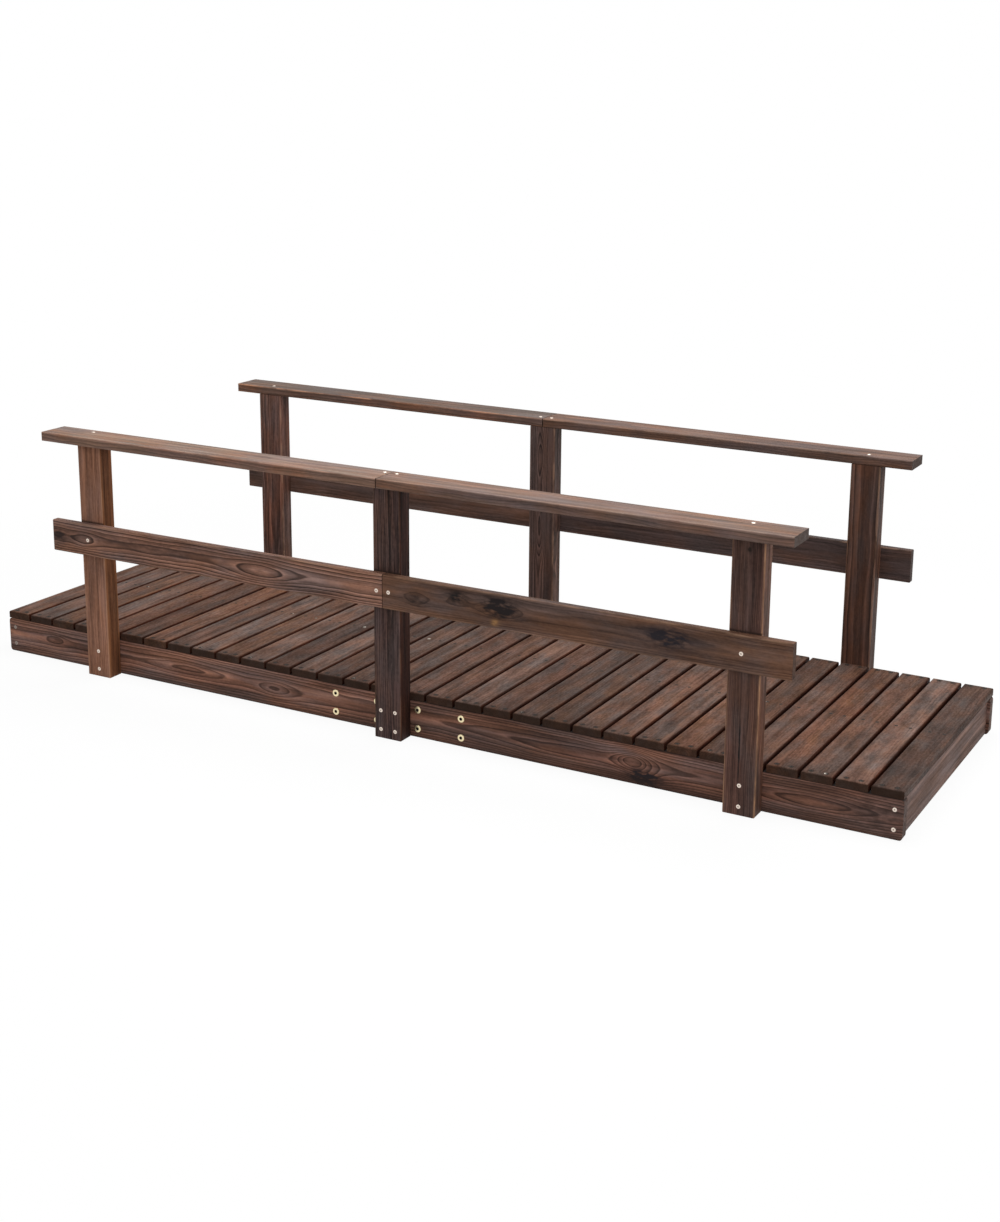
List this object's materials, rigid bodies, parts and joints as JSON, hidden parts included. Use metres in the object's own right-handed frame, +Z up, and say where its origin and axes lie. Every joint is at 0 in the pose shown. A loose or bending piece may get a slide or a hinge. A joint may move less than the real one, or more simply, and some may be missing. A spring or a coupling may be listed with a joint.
{
  "type": "garden footbridge",
  "caption": "Flat wooden garden footbridge with cross boards on side beams, and a post-and-rail railing with a handrail and a mid rail along each side.",
  "frame": {"origin": "on the ground under the middle of the bridge", "axes": "+X along the walkway, +Y across it, +Z up"},
  "size_m": [2.26, 0.82, 0.588],
  "materials": {
    "beam_wood": "dark brown stain, matte",
    "joist_wood": "dark brown stain, matte",
    "deck_wood": "dark brown stain, matte",
    "post_wood": "dark brown stain, matte",
    "rail_wood": "reddish brown stain, matte"
  },
  "bodies": {
    "root": {"front_left_beam": "beam_wood", "front_right_beam": "beam_wood", "back_left_beam": "beam_wood", "back_right_beam": "beam_wood", "left_end_board": "beam_wood", "right_end_board": "beam_wood", "front_splice_plate": "joist_wood", "back_splice_plate": "joist_wood", "left_joist": "joist_wood", "right_joist": "joist_wood", "deck_boards_1": "deck_wood", "deck_boards_2": "deck_wood", "deck_boards_3": "deck_wood", "deck_boards_4": "deck_wood", "deck_boards_5": "deck_wood", "deck_boards_6": "deck_wood", "deck_boards_7": "deck_wood", "deck_boards_8": "deck_wood", "front_left_post": "post_wood", "front_middle_post": "post_wood", "front_right_post": "post_wood", "back_left_post": "post_wood", "back_middle_post": "post_wood", "back_right_post": "post_wood", "front_left_handrail": "rail_wood", "front_right_handrail": "rail_wood", "back_left_handrail": "rail_wood", "back_right_handrail": "rail_wood", "front_left_mid_rail": "rail_wood", "front_right_mid_rail": "rail_wood", "back_left_mid_rail": "rail_wood", "back_right_mid_rail": "rail_wood"}
  },
  "joints": []
}
